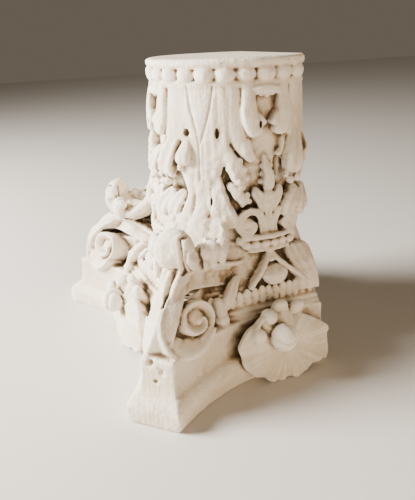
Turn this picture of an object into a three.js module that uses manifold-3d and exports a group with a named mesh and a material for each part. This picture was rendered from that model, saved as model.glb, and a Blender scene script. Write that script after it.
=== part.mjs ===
// Part of a Corinthian capital cast in plaster, standing upside down on its abacus.
// The bell rises from the abacus to a beaded neck ring, and the back is cut flat.
import * as THREE from 'three';
import { mergeVertices } from 'three/addons/utils/BufferGeometryUtils.js';
import Module from 'manifold-3d';

const wasm = await Module();
wasm.setup();

// Sizes in millimetres. z is up, the underside is z = 0, the bell axis is x = y = 0.
const HEIGHT = 200;
const BACK_CUT = 30.5;

// Abacus: four concave sides between chamfered horns, an ovolo under a plain band.
const HORN = 114;
const HORN_CHAMFER = 25;
const SIDE_MIDDLE = 82;
const SIDE_CURVE = (HORN - SIDE_MIDDLE) / (HORN - HORN_CHAMFER) ** 2;
const SIDE_STEPS = 4;
const OVOLO_TOP = 18;
const OVOLO_ROUND = 6;
const BAND_INSET = 9.5;
const BAND_LOW = 14;
const BAND_ROUND = 0.8;
const ABACUS_TOP = 40;

// Neck ring: round beads between a plain fillet and a thin rim.
const BEADS = 26;
const BEAD_RADIUS = 6.2;
const BEAD_RING = 50.5;
const BEAD_Z = 192.7;
const NECK = [[54, 183], [54, 186.9], [52.5, 187], [52.5, HEIGHT]];

// Bell profile as radius and height, from the abacus up to the neck ring.
const BELL = [[60, 34], [60, 42], [57, 54], [53.5, 66], [51.5, 78], [50, 95], [50.5, 184]];
const BELL_COLUMNS = 26;
const WRAP_RADIUS = 50;

// Gadrooned lip round the foot of the bell.
const GADROONS = 32;
const LIP = { inner: 62.5, outer: 66.5, low: 38, high: 54 };

// Volute: a broad ribbon runs out from the face and goes round the coil in its eye.
// The plane of the volute is turned away from the face and leans back. Angles in degrees.
const EYE = [83, 63, 53.5];
const EYE_TURN = 21;
const EYE_LEAN = 20;
const STEM = [[53, 3, 77], [56.5, 15, 68.6], [59, 25, 68], [62, 36, 70], [66, 46, 72.6]];
const BAND = {
  first: 122,
  step: -24.25,
  radii: [26.7, 25.6, 24.2, 23.4, 22.4, 21, 20.4, 17.5, 12],
  sunk: 5,
  wide: [2, 6, 7, 7.3, 7.3, 7.3, 7.2, 6.7, 5.8, 5.2, 5.4, 6, 5, 2.8],
  thick: [4, 4, 5, 6, 6, 6.5, 6.5, 6.5, 6.5, 6.5, 6.5, 6.5, 6.5, 6.5],
  shape: { steps: 10, flat: true },
};
const COIL = {
  first: -72,
  step: -80,
  radii: [9.6, 8.2, 7.2, 5.6, 3.6, 1.4],
  sunk: 3.6,
  wide: [3, 3.4, 3.2, 2.6, 2, 1.2],
  thick: [7.5, 8, 8, 8, 7, 6],
  shape: { steps: 6, flat: true },
};
const CORE = { half: [[45, 10], [92, 8], [121, 4]], low: 36, high: 70 };

// Flower at the middle of each abacus side: a lobed bowl of petals and two balls.
const FLOWER = {
  at: [84, -4, 25],
  wide: 33,
  high: 24,
  depth: 13,
  petals: 5,
  notch: 0.24,
  sag: 0.5,
  cup: 0.45,
};
const FLOWER_BALLS = [[[94, -8, 31], 8.4], [[90, -25.5, 36], 5]];

// Leaf tip as ways in space along x, then half widths and half thicknesses.
// Tongues that lie off the middle are mirrored.
const TIP_TONGUES = [
  [[[50, 0, 112], [58, 0, 98], [70, 0, 86], [88, 0, 85], [97, 0, 94], [96, 0, 108]], [9, 13, 16, 14, 12.5, 9],
    [5, 6, 6, 7, 7, 5], { sides: 6, steps: 6 }],
  [[[62, 12, 96], [73, 14, 89], [87, 15, 90], [87, 15, 98]], [6, 8, 8, 6], [5, 5, 5, 3]],
  [[[58, 14, 101], [70, 20, 92], [77, 21, 81]], [5, 6, 2], [5, 5, 2]],
];

// Relief strokes as a way of angle, height and lift, then half widths and half thicknesses.
// Face strokes count degrees from the middle of a face, leaf strokes from a corner.
const FACE_STROKES = [
  [[[22, 186, 1], [21, 162, 2], [17, 149, 2.5], [8, 137, 1]], [4.6, 4.8, 4, 0.8], [3, 4, 4, 2]],
  [[[9, 184, 1], [12, 176, 2.5], [12, 163, 3], [5, 150, 2]], [3.5, 4.2, 4.8, 1.5], [3, 4, 4.5, 2.5]],
  [[[0, 142, 1], [0, 130, 3], [0, 118, 3], [0, 104, 2]], [0.8, 4.5, 6, 7], [1.5, 4.5, 5, 3]],
  [[[4, 87, 3], [4, 99, 4], [11, 106, 4], [20, 102, 5], [19, 93, 5], [12, 95, 5]],
    [2.8, 2.8, 2.8, 2.4], [4, 5], { steps: 5 }],
  [[[-19, 85.5, 4], [0, 85.5, 5], [19, 85.5, 4]], [4.6, 4.6], [5.5, 5.5], { flat: true }],
  [[[0, 73, 3], [0, 64, 4], [0, 55, 2]], [6, 9.5, 6], [5, 7, 4], { sides: 6, steps: 4 }],
];
const LEAF_STROKES = [
  [[[0, 187, 1], [0, 160, 2], [0, 130, 4], [0, 96, 4]], [19, 17, 13, 9], [3, 4, 4.5, 4], { sides: 6 }],
  [[[0, 187, 3], [0, 150, 5.5]], [8, 1], [3, 2.5]],
  [[[12, 156, 2], [21, 151, 5], [28, 139, 6], [31, 121, 3]], [5, 7, 7, 2], [3, 5, 6, 3]],
  [[[13, 138, 3], [20, 130, 5], [27, 118, 6], [29, 104, 3]], [4, 5.4, 5.4, 2], [3, 5, 6, 3]],
  [[[7, 121, 4], [15, 110, 7], [19, 92, 4]], [4, 6, 2], [3, 6, 3]],
];

const rad = THREE.MathUtils.degToRad;
const MM_PER_DEGREE = rad(WRAP_RADIUS);

// Value at t along a list of evenly spaced values.
function along(list, t) {
  const x = Math.min(Math.max(t, 0), 1) * (list.length - 1);
  const i = Math.min(Math.floor(x), list.length - 2);
  return THREE.MathUtils.lerp(list[i], list[i + 1], x - i);
}

function bellRadius(z) {
  const i = BELL.findIndex(p => p[1] >= z);
  if (i < 1) return BELL.at(-1)[0];
  const [r0, z0] = BELL[i - 1];
  const [r1, z1] = BELL[i];
  return THREE.MathUtils.mapLinear(z, z0, z1, r0, r1);
}

// Closed solid of a geometry: equal vertices joined, empty triangles dropped.
function solid(geometry) {
  geometry.deleteAttribute('normal');
  geometry.deleteAttribute('uv');
  const g = mergeVertices(geometry, 1e-4);
  const all = Array.from(g.index.array);
  const kept = [];
  for (let i = 0; i < all.length; i += 3) {
    const [a, b, c] = all.slice(i, i + 3);
    if (a !== b && b !== c && c !== a) kept.push(a, b, c);
  }
  return new wasm.Manifold(new wasm.Mesh({
    numProp: 3,
    vertProperties: Float32Array.from(g.attributes.position.array),
    triVerts: Uint32Array.from(kept),
  }));
}

// Solid turned about z from a profile of radius and height that is closed to the axis.
function turned(profile, columns) {
  const ends = [[0, profile[0][1]], ...profile, [0, profile.at(-1)[1]]];
  return new THREE.LatheGeometry(ends.map(p => new THREE.Vector2(p[0], p[1])), columns).rotateX(Math.PI / 2);
}

// Sweep of a rounded section along a way: place(t, u, v) gives the point for section place u, v.
// The section is a ridge with four sides unless it has more sides or is a flat band.
function sweep(place, { sides = 4, steps = 3, flat = false }) {
  const g = new THREE.CylinderGeometry(1, 1, 1, sides, steps, false, flat ? Math.PI / 4 : 0);
  const grown = flat ? Math.SQRT2 : 1;
  const p = g.attributes.position;
  for (let i = 0; i < p.count; i++) {
    const q = place(0.5 - p.getY(i), grown * p.getX(i), grown * p.getZ(i));
    p.setXYZ(i, q.x, q.y, q.z);
  }
  return solid(g);
}

// Rounded lump with half sizes along its outward, sideways and upward directions.
function lump([x, y, z], half, turn = 0) {
  const g = new THREE.IcosahedronGeometry(1);
  g.scale(half[0], half[1], half[2]);
  g.rotateZ(rad(turn));
  return solid(g.translate(x, y, z));
}

// Abacus outline, set in by the given amount on its sides and horns.
function abacusShape(inset) {
  const middle = SIDE_MIDDLE - inset;
  const reach = 2 * HORN - HORN_CHAMFER - inset * Math.SQRT2;
  const end = (Math.sqrt(1 + 4 * SIDE_CURVE * (reach - middle)) - 1) / (2 * SIDE_CURVE);
  const points = [];
  for (let side = 0; side < 4; side++) {
    for (let i = -SIDE_STEPS; i <= SIDE_STEPS; i++) {
      const y = end * i / SIDE_STEPS;
      const p = new THREE.Vector2(middle + SIDE_CURVE * y * y, y);
      points.push(p.rotateAround(new THREE.Vector2(), side * Math.PI / 2));
    }
  }
  return new THREE.Shape(points);
}

function slab(inset, low, high, round, segments) {
  const g = new THREE.ExtrudeGeometry(abacusShape(inset), {
    depth: high - low - 2 * round,
    bevelThickness: round,
    bevelSize: round,
    bevelOffset: -round,
    bevelSegments: segments,
  });
  return solid(g.translate(0, 0, low + round));
}

// Stroke of relief wrapped on the bell, with a ridged section. The side mirrors its way.
function stroke([way, wide, thick, shape = {}], side) {
  const points = way.map(([a, z, lift]) => new THREE.Vector3(side * a * MM_PER_DEGREE, z, lift));
  const curve = new THREE.CatmullRomCurve3(points);
  return sweep((t, u, v) => {
    const c = curve.getPoint(t);
    const d = curve.getTangent(t).setZ(0).normalize();
    const w = u * along(wide, t);
    const z = c.y + d.x * w;
    const r = bellRadius(z) + c.z + v * along(thick, t);
    const a = rad((c.x - d.y * w) / MM_PER_DEGREE);
    return new THREE.Vector3(r * Math.cos(a), r * Math.sin(a), z);
  }, shape);
}

// Strokes of one face or leaf: one that crosses the axis stands alone, others come in pairs.
function strokes(list) {
  const alone = way => way.reduce((sum, p) => sum + p[0], 0) === 0;
  return list.flatMap(item => (alone(item[0]) ? [1] : [-1, 1]).map(side => stroke(item, side)));
}

// Neck ring whose flats carry one bead each.
function neck() {
  const step = 360 / BEADS;
  const made = [solid(turned(NECK, BEADS).rotateZ(rad(step / 2)))];
  for (let i = 0; i < BEADS; i++) {
    const a = rad(i * step);
    const at = [BEAD_RING * Math.cos(a), BEAD_RING * Math.sin(a), BEAD_Z];
    made.push(lump(at, [BEAD_RADIUS, BEAD_RADIUS, BEAD_RADIUS], i * step));
  }
  return made;
}

function gadroonedLip() {
  const points = [];
  for (let i = 0; i < 2 * GADROONS; i++) {
    const r = i % 2 ? LIP.inner : LIP.outer;
    const a = i * Math.PI / GADROONS;
    points.push(new THREE.Vector2(r * Math.cos(a), r * Math.sin(a)));
  }
  const depth = LIP.high - LIP.low;
  const g = new THREE.ExtrudeGeometry(new THREE.Shape(points), { depth, bevelEnabled: false });
  return solid(g.translate(0, 0, LIP.low));
}

// Ribbon and coil on one side of a face. The side is -1 or +1 along y.
function volute(side) {
  const c = Math.cos(rad(EYE_TURN));
  const s = Math.sin(rad(EYE_TURN));
  const n = new THREE.Vector3(c, -side * s, Math.tan(rad(EYE_LEAN))).normalize();
  const out = new THREE.Vector3(s, side * c, 0);
  const up = new THREE.Vector3().crossVectors(n, out).multiplyScalar(side);
  const eye = new THREE.Vector3(EYE[0], side * EYE[1], EYE[2]);
  const spiral = ({ first, step, radii, sunk }) => radii.map((radius, i) => eye.clone()
    .addScaledVector(out, radius * Math.cos(rad(first + step * i)))
    .addScaledVector(up, radius * Math.sin(rad(first + step * i)))
    .addScaledVector(n, -sunk));
  const ribbon = (points, { wide, thick, shape }) => {
    const curve = new THREE.CatmullRomCurve3(points);
    return sweep((t, a, b) => {
      const across = new THREE.Vector3().crossVectors(n, curve.getTangent(t)).normalize();
      return curve.getPoint(t)
        .addScaledVector(across, a * along(wide, t))
        .addScaledVector(n, b * along(thick, t));
    }, shape);
  };
  const stem = STEM.map(([x, y, z]) => new THREE.Vector3(x, side * y, z).addScaledVector(n, -BAND.sunk));
  return [ribbon([...stem, ...spiral(BAND)], BAND), ribbon(spiral(COIL), COIL)];
}

// Solid mass between the two coils of a corner, standing on the abacus horn.
function cornerCore() {
  const ring = [...CORE.half, ...CORE.half.map(([r, w]) => [r, -w]).reverse()];
  const shape = new THREE.Shape(ring.map(([r, w]) => new THREE.Vector2(r, w)));
  const g = new THREE.ExtrudeGeometry(shape, { depth: CORE.high - CORE.low, bevelEnabled: false });
  return solid(g.translate(0, 0, CORE.low));
}

// Open flower on the abacus side: one lobed bowl of petals round a big and a small ball.
function flower() {
  const { at, wide, high, depth, petals, notch, sag, cup } = FLOWER;
  const g = new THREE.SphereGeometry(1, 4 * petals, 4);
  const p = g.attributes.position;
  for (let i = 0; i < p.count; i++) {
    const a = Math.atan2(p.getZ(i), p.getX(i));
    const spread = Math.hypot(p.getX(i), p.getZ(i));
    const lobe = 1 - notch * spread * Math.sin(petals * a / 2) ** 4;
    const rise = p.getY(i) * (1 - sag * spread) + cup * spread * spread;
    p.setXYZ(i, depth * rise, wide * lobe * p.getX(i), -high * lobe * p.getZ(i));
  }
  return [solid(g.translate(...at)), ...FLOWER_BALLS.map(([place, r]) => lump(place, [r, r, r]))];
}

// One tongue of a leaf tip, made along x and later turned to its corner. The side mirrors its way.
function tongue([way, wide, thick, shape = {}], side) {
  const curve = new THREE.CatmullRomCurve3(way.map(([r, y, z]) => new THREE.Vector3(r, side * y, z)));
  const across = new THREE.Vector3(0, 1, 0);
  return sweep((t, u, v) => {
    const out = new THREE.Vector3().crossVectors(curve.getTangent(t), across).normalize();
    return curve.getPoint(t)
      .addScaledVector(across, u * along(wide, t))
      .addScaledVector(out, v * along(thick, t));
  }, shape);
}

// Tip of a corner leaf: it leaves the bell, turns outward and ends in a ragged upward lip.
function leafTip() {
  return TIP_TONGUES.flatMap(item => (item[0][0][1] === 0 ? [1] : [-1, 1]).map(side => tongue(item, side)));
}

// The relief repeats on three faces, and the horns and leaf tips on the two whole corners.
const faces = [...strokes(FACE_STROKES), ...flower(), ...volute(-1), ...volute(1)];
const leaves = strokes(LEAF_STROKES);
const corners = [...leafTip(), cornerCore()];
let body = wasm.Manifold.union([
  slab(0, 0, OVOLO_TOP, OVOLO_ROUND, 2),
  slab(BAND_INSET, BAND_LOW, ABACUS_TOP, BAND_ROUND, 1),
  solid(turned(BELL, BELL_COLUMNS)),
  ...neck(),
  gadroonedLip(),
  ...[0, -90, 180].flatMap(a => faces.map(m => m.rotate([0, 0, a]))),
  ...[-135, -45, 45, 135].flatMap(a => leaves.map(m => m.rotate([0, 0, a]))),
  ...[-45, -135].flatMap(a => corners.map(m => m.rotate([0, 0, a]))),
]);

// Everything behind the flat back and under the standing plane is cut away.
const block = new THREE.BoxGeometry(4 * HORN, 2 * HORN, HEIGHT);
body = body.intersect(solid(block.translate(0, BACK_CUT - HORN, HEIGHT / 2)));

const cast = body.getMesh();
const geometry = new THREE.BufferGeometry();
geometry.setAttribute('position', new THREE.BufferAttribute(cast.vertProperties, 3));
geometry.setIndex(new THREE.BufferAttribute(cast.triVerts, 1));
geometry.computeVertexNormals();

const plaster = new THREE.MeshStandardMaterial({ color: 0xdcd4c4, roughness: 0.85, metalness: 0 });
const capital = new THREE.Mesh(geometry, plaster);
capital.name = 'capital';
const group = new THREE.Group();
group.add(capital);

export default group;
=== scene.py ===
# %% [markdown]
# A plaster capital, standing upside down
#
# The object is one cast of plaster: part of a Corinthian capital that stands on its abacus, with
# the beaded neck ring on top and a flat saw cut behind. This lesson carves it again as one mesh.
# Every leaf, ribbon and bead is first a small closed solid. They are pushed into each other, a
# voxel remesh melts them into one skin, as plaster does in a mould, and fine marks come last.

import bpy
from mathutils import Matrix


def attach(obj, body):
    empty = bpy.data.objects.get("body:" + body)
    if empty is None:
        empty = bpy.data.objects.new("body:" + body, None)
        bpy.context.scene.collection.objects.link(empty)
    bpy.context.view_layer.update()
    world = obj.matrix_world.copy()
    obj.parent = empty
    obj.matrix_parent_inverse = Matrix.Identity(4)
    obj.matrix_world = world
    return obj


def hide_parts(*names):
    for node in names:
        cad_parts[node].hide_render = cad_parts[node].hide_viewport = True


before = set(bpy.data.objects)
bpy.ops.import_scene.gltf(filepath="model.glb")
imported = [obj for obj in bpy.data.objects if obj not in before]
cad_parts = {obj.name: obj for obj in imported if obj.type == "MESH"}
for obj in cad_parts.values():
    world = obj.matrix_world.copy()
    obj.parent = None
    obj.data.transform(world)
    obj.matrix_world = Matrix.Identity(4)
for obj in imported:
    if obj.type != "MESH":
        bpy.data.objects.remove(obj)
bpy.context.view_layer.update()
print("frame nodes:", list(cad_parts))

# %% [markdown]
# Units and small helpers
#
# Sizes are written in millimetres and turned to metres only when a mesh is made. A shape is a pair
# of an array of points and a list of faces. A curve runs smoothly through a few given points, and a
# tube is a closed skin through a stack of rings: nearly all of the carving is made of these.

# %% Curves, tubes and turns
import math

import bmesh
import bpy
import numpy as np
from mathutils import Matrix, Vector, noise
from mathutils.bvhtree import BVHTree

MM = 0.001


def curve(points, t):
    """Points of a smooth curve through a list of values, for t from 0 to 1."""
    p = np.asarray(points, float)
    last = len(p) - 1
    x = np.clip(t, 0, 1) * last
    i = np.minimum(x.astype(int), last - 1)
    f = x - i
    if p.ndim > 1:
        f = f[:, None]
    a, b, c, d = p[np.maximum(i - 1, 0)], p[i], p[i + 1], p[np.minimum(i + 2, last)]
    bend = 2 * a - 5 * b + 4 * c - d
    return 0.5 * (2 * b + (c - a) * f + bend * f**2 + (3 * b - a - 3 * c + d) * f**3)


def tube(rings):
    """Closed solid through a stack of rings of points, with flat ends."""
    count, around = rings.shape[:2]
    faces = []
    for i in range(count - 1):
        for j in range(around):
            k = (j + 1) % around
            faces.append((i * around + j, i * around + k, (i + 1) * around + k, (i + 1) * around + j))
    faces.append(tuple(reversed(range(around))))
    faces.append(tuple(range((count - 1) * around, count * around)))
    return rings.reshape(-1, 3), faces


def turned(shapes, degrees):
    """The same shapes turned about the bell axis."""
    a = math.radians(degrees)
    m = np.array([[math.cos(a), math.sin(a), 0], [-math.sin(a), math.cos(a), 0], [0, 0, 1]])
    return [(points @ m, faces) for points, faces in shapes]


def mesh_object(name, shapes):
    """One object of all the shapes, in metres, at the origin."""
    points, faces, start = [], [], 0
    for p, f in shapes:
        points.append(p)
        faces += [tuple(start + i for i in face) for face in f]
        start += len(p)
    mesh = bpy.data.meshes.new(name)
    mesh.from_pydata((np.concatenate(points) * MM).tolist(), [], faces)
    made = bpy.data.objects.new(name, mesh)
    bpy.context.collection.objects.link(made)
    return made


def settle(piece):
    """Turns an object's modifiers into a plain mesh."""
    graph = bpy.context.evaluated_depsgraph_get()
    mesh = bpy.data.meshes.new_from_object(piece.evaluated_get(graph))
    piece.modifiers.clear()
    piece.data = mesh
    return piece


print("helpers ready, one unit is", MM, "m")

# %% [markdown]
# Nodes
#
# Geometry trees and materials are both node trees, so one small function serves them all: it adds
# a node, sets its properties, and links or fills its inputs.

# %% Adding a node
def add(tree, kind, inputs=None, **settings):
    made = tree.nodes.new(kind)
    for name, value in settings.items():
        setattr(made, name, value)
    for socket, value in (inputs or {}).items():
        if isinstance(value, bpy.types.NodeSocket):
            tree.links.new(value, made.inputs[socket])
        else:
            made.inputs[socket].default_value = value
    return made


def linear(hex_colour):
    """Linear colour of an sRGB hex value."""
    parts = [int(hex_colour[i:i + 2], 16) / 255 for i in (1, 3, 5)]
    return tuple(c / 12.92 if c <= 0.04045 else ((c + 0.055) / 1.055) ** 2.4 for c in parts) + (1,)


print("white plaster in linear light:", [round(c, 3) for c in linear("#E9E3D8")])

# %% [markdown]
# The plaster
#
# Gypsum plaster poured in a mould is off-white and fully matte, so it has no clear highlight. What
# the eye sees is soft shading, warm dust in the hollows, edges rubbed paler, tiny holes left by air,
# and the strokes of the brush that cleaned the broad faces. The hollows are also painted darker as
# shade, dusty tan to near black. The colour follows two attributes that are measured on the finished
# mesh, dust_and_painted_shade and edge.

# %% Plaster material
PIT_SPACING_MM = 9.0
BLOTCH_MM = 30.0
GRAIN_MM = 2.0
BRUSH_MM = 2.2
BRUSH_STRETCH = 9.0


def cast_plaster():
    made = bpy.data.materials.new("cast_gypsum_plaster")
    made.use_nodes = True
    tree = made.node_tree
    tree.nodes.clear()
    place = add(tree, "ShaderNodeTexCoord").outputs["Object"]
    blotch = add(tree, "ShaderNodeTexNoise",
                 {"Vector": place, "Scale": 1 / (BLOTCH_MM * MM), "Detail": 4.0})
    grain = add(tree, "ShaderNodeTexNoise", {"Vector": place, "Scale": 1 / (GRAIN_MM * MM), "Detail": 2.0})
    stretched = add(tree, "ShaderNodeMapping", {"Vector": place, "Scale": (1, 1, 1 / BRUSH_STRETCH)})
    brush = add(tree, "ShaderNodeTexNoise",
                {"Vector": stretched.outputs[0], "Scale": 1 / (BRUSH_MM * MM), "Detail": 3.0})
    pits = add(tree, "ShaderNodeTexVoronoi",
               {"Vector": place, "Scale": 1 / (PIT_SPACING_MM * MM), "Randomness": 1.0})
    pit = add(tree, "ShaderNodeMapRange", {"Value": pits.outputs["Distance"], "From Min": 0.03,
                                           "From Max": 0.06, "To Min": 1.0, "To Max": 0.0})
    # painted shade: the hollow measure comes from ray-cast shade and creases, and tints hollows dusty tan as
    # dust and painted shade
    dust_and_painted_shade = add(tree, "ShaderNodeAttribute", attribute_name="dust_and_painted_shade").outputs["Fac"]
    edge = add(tree, "ShaderNodeAttribute", attribute_name="edge").outputs["Fac"]
    tone = add(tree, "ShaderNodeMapRange",
               {"Value": blotch.outputs["Fac"], "From Min": 0.35, "From Max": 0.65})
    body = add(tree, "ShaderNodeMix",
               {"Factor": tone.outputs[0], 6: linear("#EAE1D1"), 7: linear("#DED1BB")}, data_type="RGBA")
    rubbed = add(tree, "ShaderNodeMix",
                 {"Factor": edge, 6: body.outputs[2], 7: linear("#F7F1E6")}, data_type="RGBA")
    dust_and_shade_amount = add(tree, "ShaderNodeMapRange", {"Value": dust_and_painted_shade, "From Min": 0.0, "From Max": 0.6})
    dust_and_shade_tint = add(tree, "ShaderNodeMix",
                {"Factor": dust_and_shade_amount.outputs[0], 6: rubbed.outputs[2], 7: linear("#AA9779")}, data_type="RGBA")
    # painted shade: the deepest hollows turn near black, a painted stand-in for shade
    painted_deep_shade = add(tree, "ShaderNodeMapRange", {"Value": dust_and_painted_shade, "From Min": 0.55, "From Max": 1.1})
    painted_deep_shade_mix = add(tree, "ShaderNodeMix",
               {"Factor": painted_deep_shade.outputs[0], 6: dust_and_shade_tint.outputs[2], 7: linear("#40352A")}, data_type="RGBA")
    pitted = add(tree, "ShaderNodeMix",
                 {"Factor": pit.outputs[0], 6: painted_deep_shade_mix.outputs[2], 7: linear("#8B7355")}, data_type="RGBA")
    relief = add(tree, "ShaderNodeMath",
                 {0: grain.outputs["Fac"], 1: brush.outputs["Fac"]}, operation="ADD")
    relief = add(tree, "ShaderNodeMath", {0: relief.outputs[0], 1: pit.outputs[0]}, operation="SUBTRACT")
    bump = add(tree, "ShaderNodeBump", {"Height": relief.outputs[0], "Strength": 0.6, "Distance": 0.7 * MM})
    shader = add(tree, "ShaderNodeBsdfPrincipled",
                 {"Base Color": pitted.outputs[2], "Roughness": 0.88, "IOR": 1.52,
                  "Specular IOR Level": 0.25, "Normal": bump.outputs[0]})
    add(tree, "ShaderNodeOutputMaterial", {"Surface": shader.outputs[0]})
    return made


plaster = cast_plaster()
print("material:", plaster.name, len(plaster.node_tree.nodes), "nodes")

# %% [markdown]
# The abacus
#
# The slab that the cast stands on has four hollow sides and cut-off corners, the horns. Its edge is
# a fat round below and a plain band above. One outline is worked out for a given inset, and the
# profile of insets up the edge stacks these outlines into a closed slab.

# %% Abacus slab
HORN = 114.0
HORN_CHAMFER = 25.0
SIDE_MIDDLE = 82.0
SIDE_HOLLOW = 31.5
SIDE_POWER = 2.17
EDGE_PROFILE = [(0, 2.6), (1, 1.0), (4, 0.3), (8, 0), (12, 0.2), (15, 1.6), (17.2, 4), (18, 6), (18.7, 7.6),
                (22, 9), (30, 10), (39.4, 10), (40, 10.8)]
SIDE_STEPS = 48


def abacus_outline(inset):
    end = HORN - HORN_CHAMFER
    y = np.linspace(0, 1.3 * end, 400)
    x = SIDE_MIDDLE - inset + SIDE_HOLLOW * (y / end) ** SIDE_POWER
    reach = np.interp(HORN + end - inset * math.sqrt(2), x + y, y)
    across = np.linspace(-reach, reach, SIDE_STEPS)
    side = np.stack([np.interp(np.abs(across), y, x), across], 1)
    turns = [np.array([[0, 1], [-1, 0]]), -np.eye(2), np.array([[0, -1], [1, 0]])]
    return np.concatenate([side] + [side @ t for t in turns])


def abacus():
    rings = []
    for z, inset in EDGE_PROFILE:
        flat = abacus_outline(inset)
        rings.append(np.column_stack([flat, np.full(len(flat), z)]))
    return [tube(np.array(rings))]


slab = abacus()
print("abacus:", len(slab[0][0]), "points")

# %% [markdown]
# The bell and the neck
#
# The bell is a turned form: nearly a cylinder, with a flare at its foot. The flare is squared, so it
# bulges towards the corners. The neck has a plain fillet and a thin rim above the beads. Everything
# carved on the bell is later placed by an angle, a height and a lift off this surface.

# %% Bell and neck rings
HEIGHT = 200.0
BELL = [(63, 34, 6), (63, 46, 6), (62, 55, 6), (59.5, 60, 5), (56.5, 67, 4), (53, 75, 3), (51, 85, 2),
        (50, 95, 2), (50, 140, 2), (50.3, 186, 2)]
NECK = [(50, 182.6, 2), (53.8, 183.2, 2), (54.4, 184.4, 2), (54.4, 186, 2), (53.4, 186.8, 2),
        (51.4, 187.6, 2), (51.4, 193.4, 2), (54.8, 194.6, 2), (56, 196.6, 2), (55.8, 199, 2),
        (53.6, HEIGHT, 2)]
FOOT = [(60, 36, 6), (71.4, 36.2, 8), (71.8, 41, 8), (71, 42, 7), (69.4, 42.4, 6), (69.8, 43.2, 6),
        (69.6, 44.4, 6), (66.8, 45.6, 6), (65.4, 52, 6), (62, 57, 6), (56, 58, 5)]
TURN_STEPS = 200


def squared(angle, power):
    """How far a ring stands out at an angle: 1 is round, a higher power bulges to the corners."""
    return (np.abs(np.cos(angle)) ** power + np.abs(np.sin(angle)) ** power) ** (-1 / power)


def lathe(profile):
    """Turned solid from rows of radius, height and power of squareness."""
    a = np.linspace(0, 2 * math.pi, TURN_STEPS, endpoint=False)
    rings = []
    for r, z, power in profile:
        out = r * squared(a, power)
        rings.append(np.stack([out * np.cos(a), out * np.sin(a), np.full_like(a, z)], 1))
    return tube(np.array(rings))


def bell_radius(z, angle=0.0):
    r, heights, power = np.array(BELL, float).T
    return np.interp(z, heights, r) * squared(angle, np.interp(z, heights, power))


bell = [lathe(BELL), lathe(NECK), lathe(FOOT)]
print("bell: radius", bell_radius(140), "mm at mid height")

# %% [markdown]
# Beads and gadroons
#
# Three rows repeat one lump round the axis: the big beads of the neck ring, the small beads of the
# ornament band, and the gadroons, long ribs round the foot of the bell. One Geometry Nodes tree sets
# lumps on an arc, turns each to face outwards and varies its size a little with a fixed seed.

# %% Tree that sets lumps on an arc
def arc_of_lumps():
    tree = bpy.data.node_groups.new("arc_of_lumps", "GeometryNodeTree")
    face = tree.interface
    for name, kind in [("Count", "NodeSocketInt"), ("First angle", "NodeSocketFloat"),
                       ("Step", "NodeSocketFloat"), ("Radius", "NodeSocketFloat"),
                       ("Height", "NodeSocketFloat"), ("Squareness", "NodeSocketFloat"),
                       ("Half size", "NodeSocketVector"), ("Wobble", "NodeSocketFloat"),
                       ("Seed", "NodeSocketInt"), ("Material", "NodeSocketMaterial")]:
        face.new_socket(name, in_out="INPUT", socket_type=kind)
    face.new_socket("Mesh", in_out="OUTPUT", socket_type="NodeSocketGeometry")
    given = add(tree, "NodeGroupInput").outputs
    line = add(tree, "GeometryNodeMeshLine", {"Count": given["Count"], "Offset": (0, 0, 0)})
    index = add(tree, "GeometryNodeInputIndex").outputs[0]
    angle = add(tree, "ShaderNodeMath", {0: index, 1: given["Step"], 2: given["First angle"]},
                operation="MULTIPLY_ADD").outputs[0]
    east = add(tree, "ShaderNodeMath", {0: angle}, operation="COSINE").outputs[0]
    north = add(tree, "ShaderNodeMath", {0: angle}, operation="SINE").outputs[0]
    power = given["Squareness"]
    size_east = add(tree, "ShaderNodeMath", {0: east}, operation="ABSOLUTE").outputs[0]
    size_north = add(tree, "ShaderNodeMath", {0: north}, operation="ABSOLUTE").outputs[0]
    part_east = add(tree, "ShaderNodeMath", {0: size_east, 1: power}, operation="POWER").outputs[0]
    part_north = add(tree, "ShaderNodeMath", {0: size_north, 1: power}, operation="POWER").outputs[0]
    both = add(tree, "ShaderNodeMath", {0: part_east, 1: part_north}, operation="ADD").outputs[0]
    root = add(tree, "ShaderNodeMath", {0: -1.0, 1: power}, operation="DIVIDE").outputs[0]
    bulge = add(tree, "ShaderNodeMath", {0: both, 1: root}, operation="POWER").outputs[0]
    reach = add(tree, "ShaderNodeMath", {0: bulge, 1: given["Radius"]}, operation="MULTIPLY").outputs[0]
    x = add(tree, "ShaderNodeMath", {0: east, 1: reach}, operation="MULTIPLY").outputs[0]
    y = add(tree, "ShaderNodeMath", {0: north, 1: reach}, operation="MULTIPLY").outputs[0]
    spot = add(tree, "ShaderNodeCombineXYZ", {"X": x, "Y": y, "Z": given["Height"]})
    points = add(tree, "GeometryNodeSetPosition",
                 {"Geometry": line.outputs[0], "Position": spot.outputs[0]})
    lump = add(tree, "GeometryNodeMeshIcoSphere", {"Radius": 1.0, "Subdivisions": 3})
    facing = add(tree, "ShaderNodeCombineXYZ", {"Z": angle})
    low = add(tree, "ShaderNodeMath", {0: 1.0, 1: given["Wobble"]}, operation="SUBTRACT").outputs[0]
    high = add(tree, "ShaderNodeMath", {0: 1.0, 1: given["Wobble"]}, operation="ADD").outputs[0]
    vary = add(tree, "FunctionNodeRandomValue", {2: low, 3: high, "Seed": given["Seed"]}, data_type="FLOAT")
    size = add(tree, "ShaderNodeVectorMath",
               {0: given["Half size"], "Scale": vary.outputs[1]}, operation="SCALE")
    copies = add(tree, "GeometryNodeInstanceOnPoints",
                 {"Points": points.outputs[0], "Instance": lump.outputs[0], "Rotation": facing.outputs[0],
                  "Scale": size.outputs[0]})
    real = add(tree, "GeometryNodeRealizeInstances", {0: copies.outputs[0]})
    dressed = add(tree, "GeometryNodeSetMaterial",
                  {"Geometry": real.outputs[0], "Material": given["Material"]})
    add(tree, "NodeGroupOutput", {0: dressed.outputs[0]})
    return tree


lump_tree = arc_of_lumps()
print("tree:", lump_tree.name, len(lump_tree.nodes), "nodes")

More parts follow.
